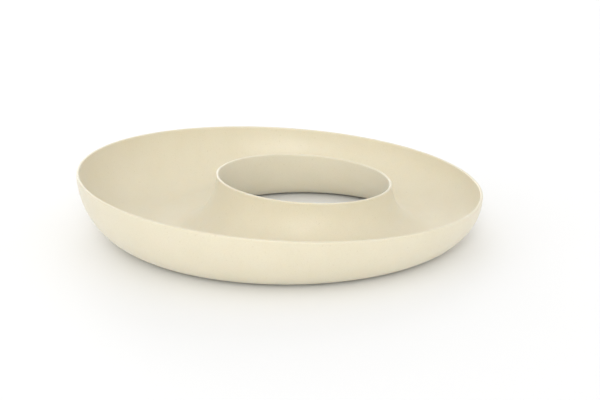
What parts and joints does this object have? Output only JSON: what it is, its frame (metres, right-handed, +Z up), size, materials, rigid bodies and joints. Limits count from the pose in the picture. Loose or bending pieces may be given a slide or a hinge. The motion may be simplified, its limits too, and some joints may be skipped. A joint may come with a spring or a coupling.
{
  "type": "chip and dip server",
  "caption": "One-piece ring bowl: a deep round trough for chips with a slanted rim, around an off-centre cone wall with a round through-hole for a dip bowl.",
  "frame": {"origin": "on the table, under the centre of the outer lip, which is the middle of the bounding box's base", "axes": "+Z up, +X towards the low side of the slanted rim, so the XZ plane divides the bowl into two mirrored halves"},
  "size_m": [0.3598, 0.3598, 0.0611],
  "materials": {
    "cream_plastic": "matt moulded plastic with plant fibre, very soft sheen"
  },
  "bodies": {
    "root": {"server_body": "cream_plastic"}
  },
  "joints": []
}
